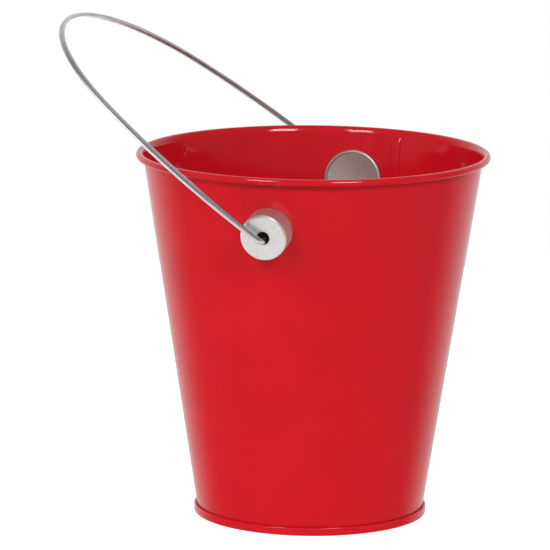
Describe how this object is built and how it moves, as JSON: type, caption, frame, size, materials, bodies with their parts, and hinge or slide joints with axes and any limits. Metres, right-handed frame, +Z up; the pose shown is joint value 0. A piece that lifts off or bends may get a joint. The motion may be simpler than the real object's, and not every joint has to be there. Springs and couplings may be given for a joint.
{
  "type": "sand bucket",
  "caption": "Small tapered tinplate sand bucket with a curled rim, a seamed base, drum-shaped side ears and a swinging wire bail.",
  "frame": {"origin": "centre of the foot on the surface that the bucket stands on", "axes": "+Z up the bucket's axis; the ears stand on -Y (front) and +Y (rear), so the bail's hinge line runs along Y; at rest the bail leans towards -X"},
  "size_m": [0.1406, 0.128, 0.1603],
  "materials": {
    "red_enamel": "gloss enamel on tinplate",
    "nickel_ear": "satin nickel plate",
    "bail_steel": "bright drawn wire, nickel plated"
  },
  "bodies": {
    "pail": {"pail_wall": "red_enamel", "pail_base": "red_enamel", "ear_drum_front": "nickel_ear", "ear_plate_front": "nickel_ear", "ear_drum_rear": "nickel_ear", "ear_plate_rear": "nickel_ear"},
    "bail": {"bail_wire": "bail_steel"}
  },
  "joints": [
    {"name": "bail_swing", "type": "hinge", "parent": "pail", "child": "bail", "pos_m": [0, 0, 0.09961], "axis": [0, 1, 0], "range_deg": [-103, 211]}
  ]
}
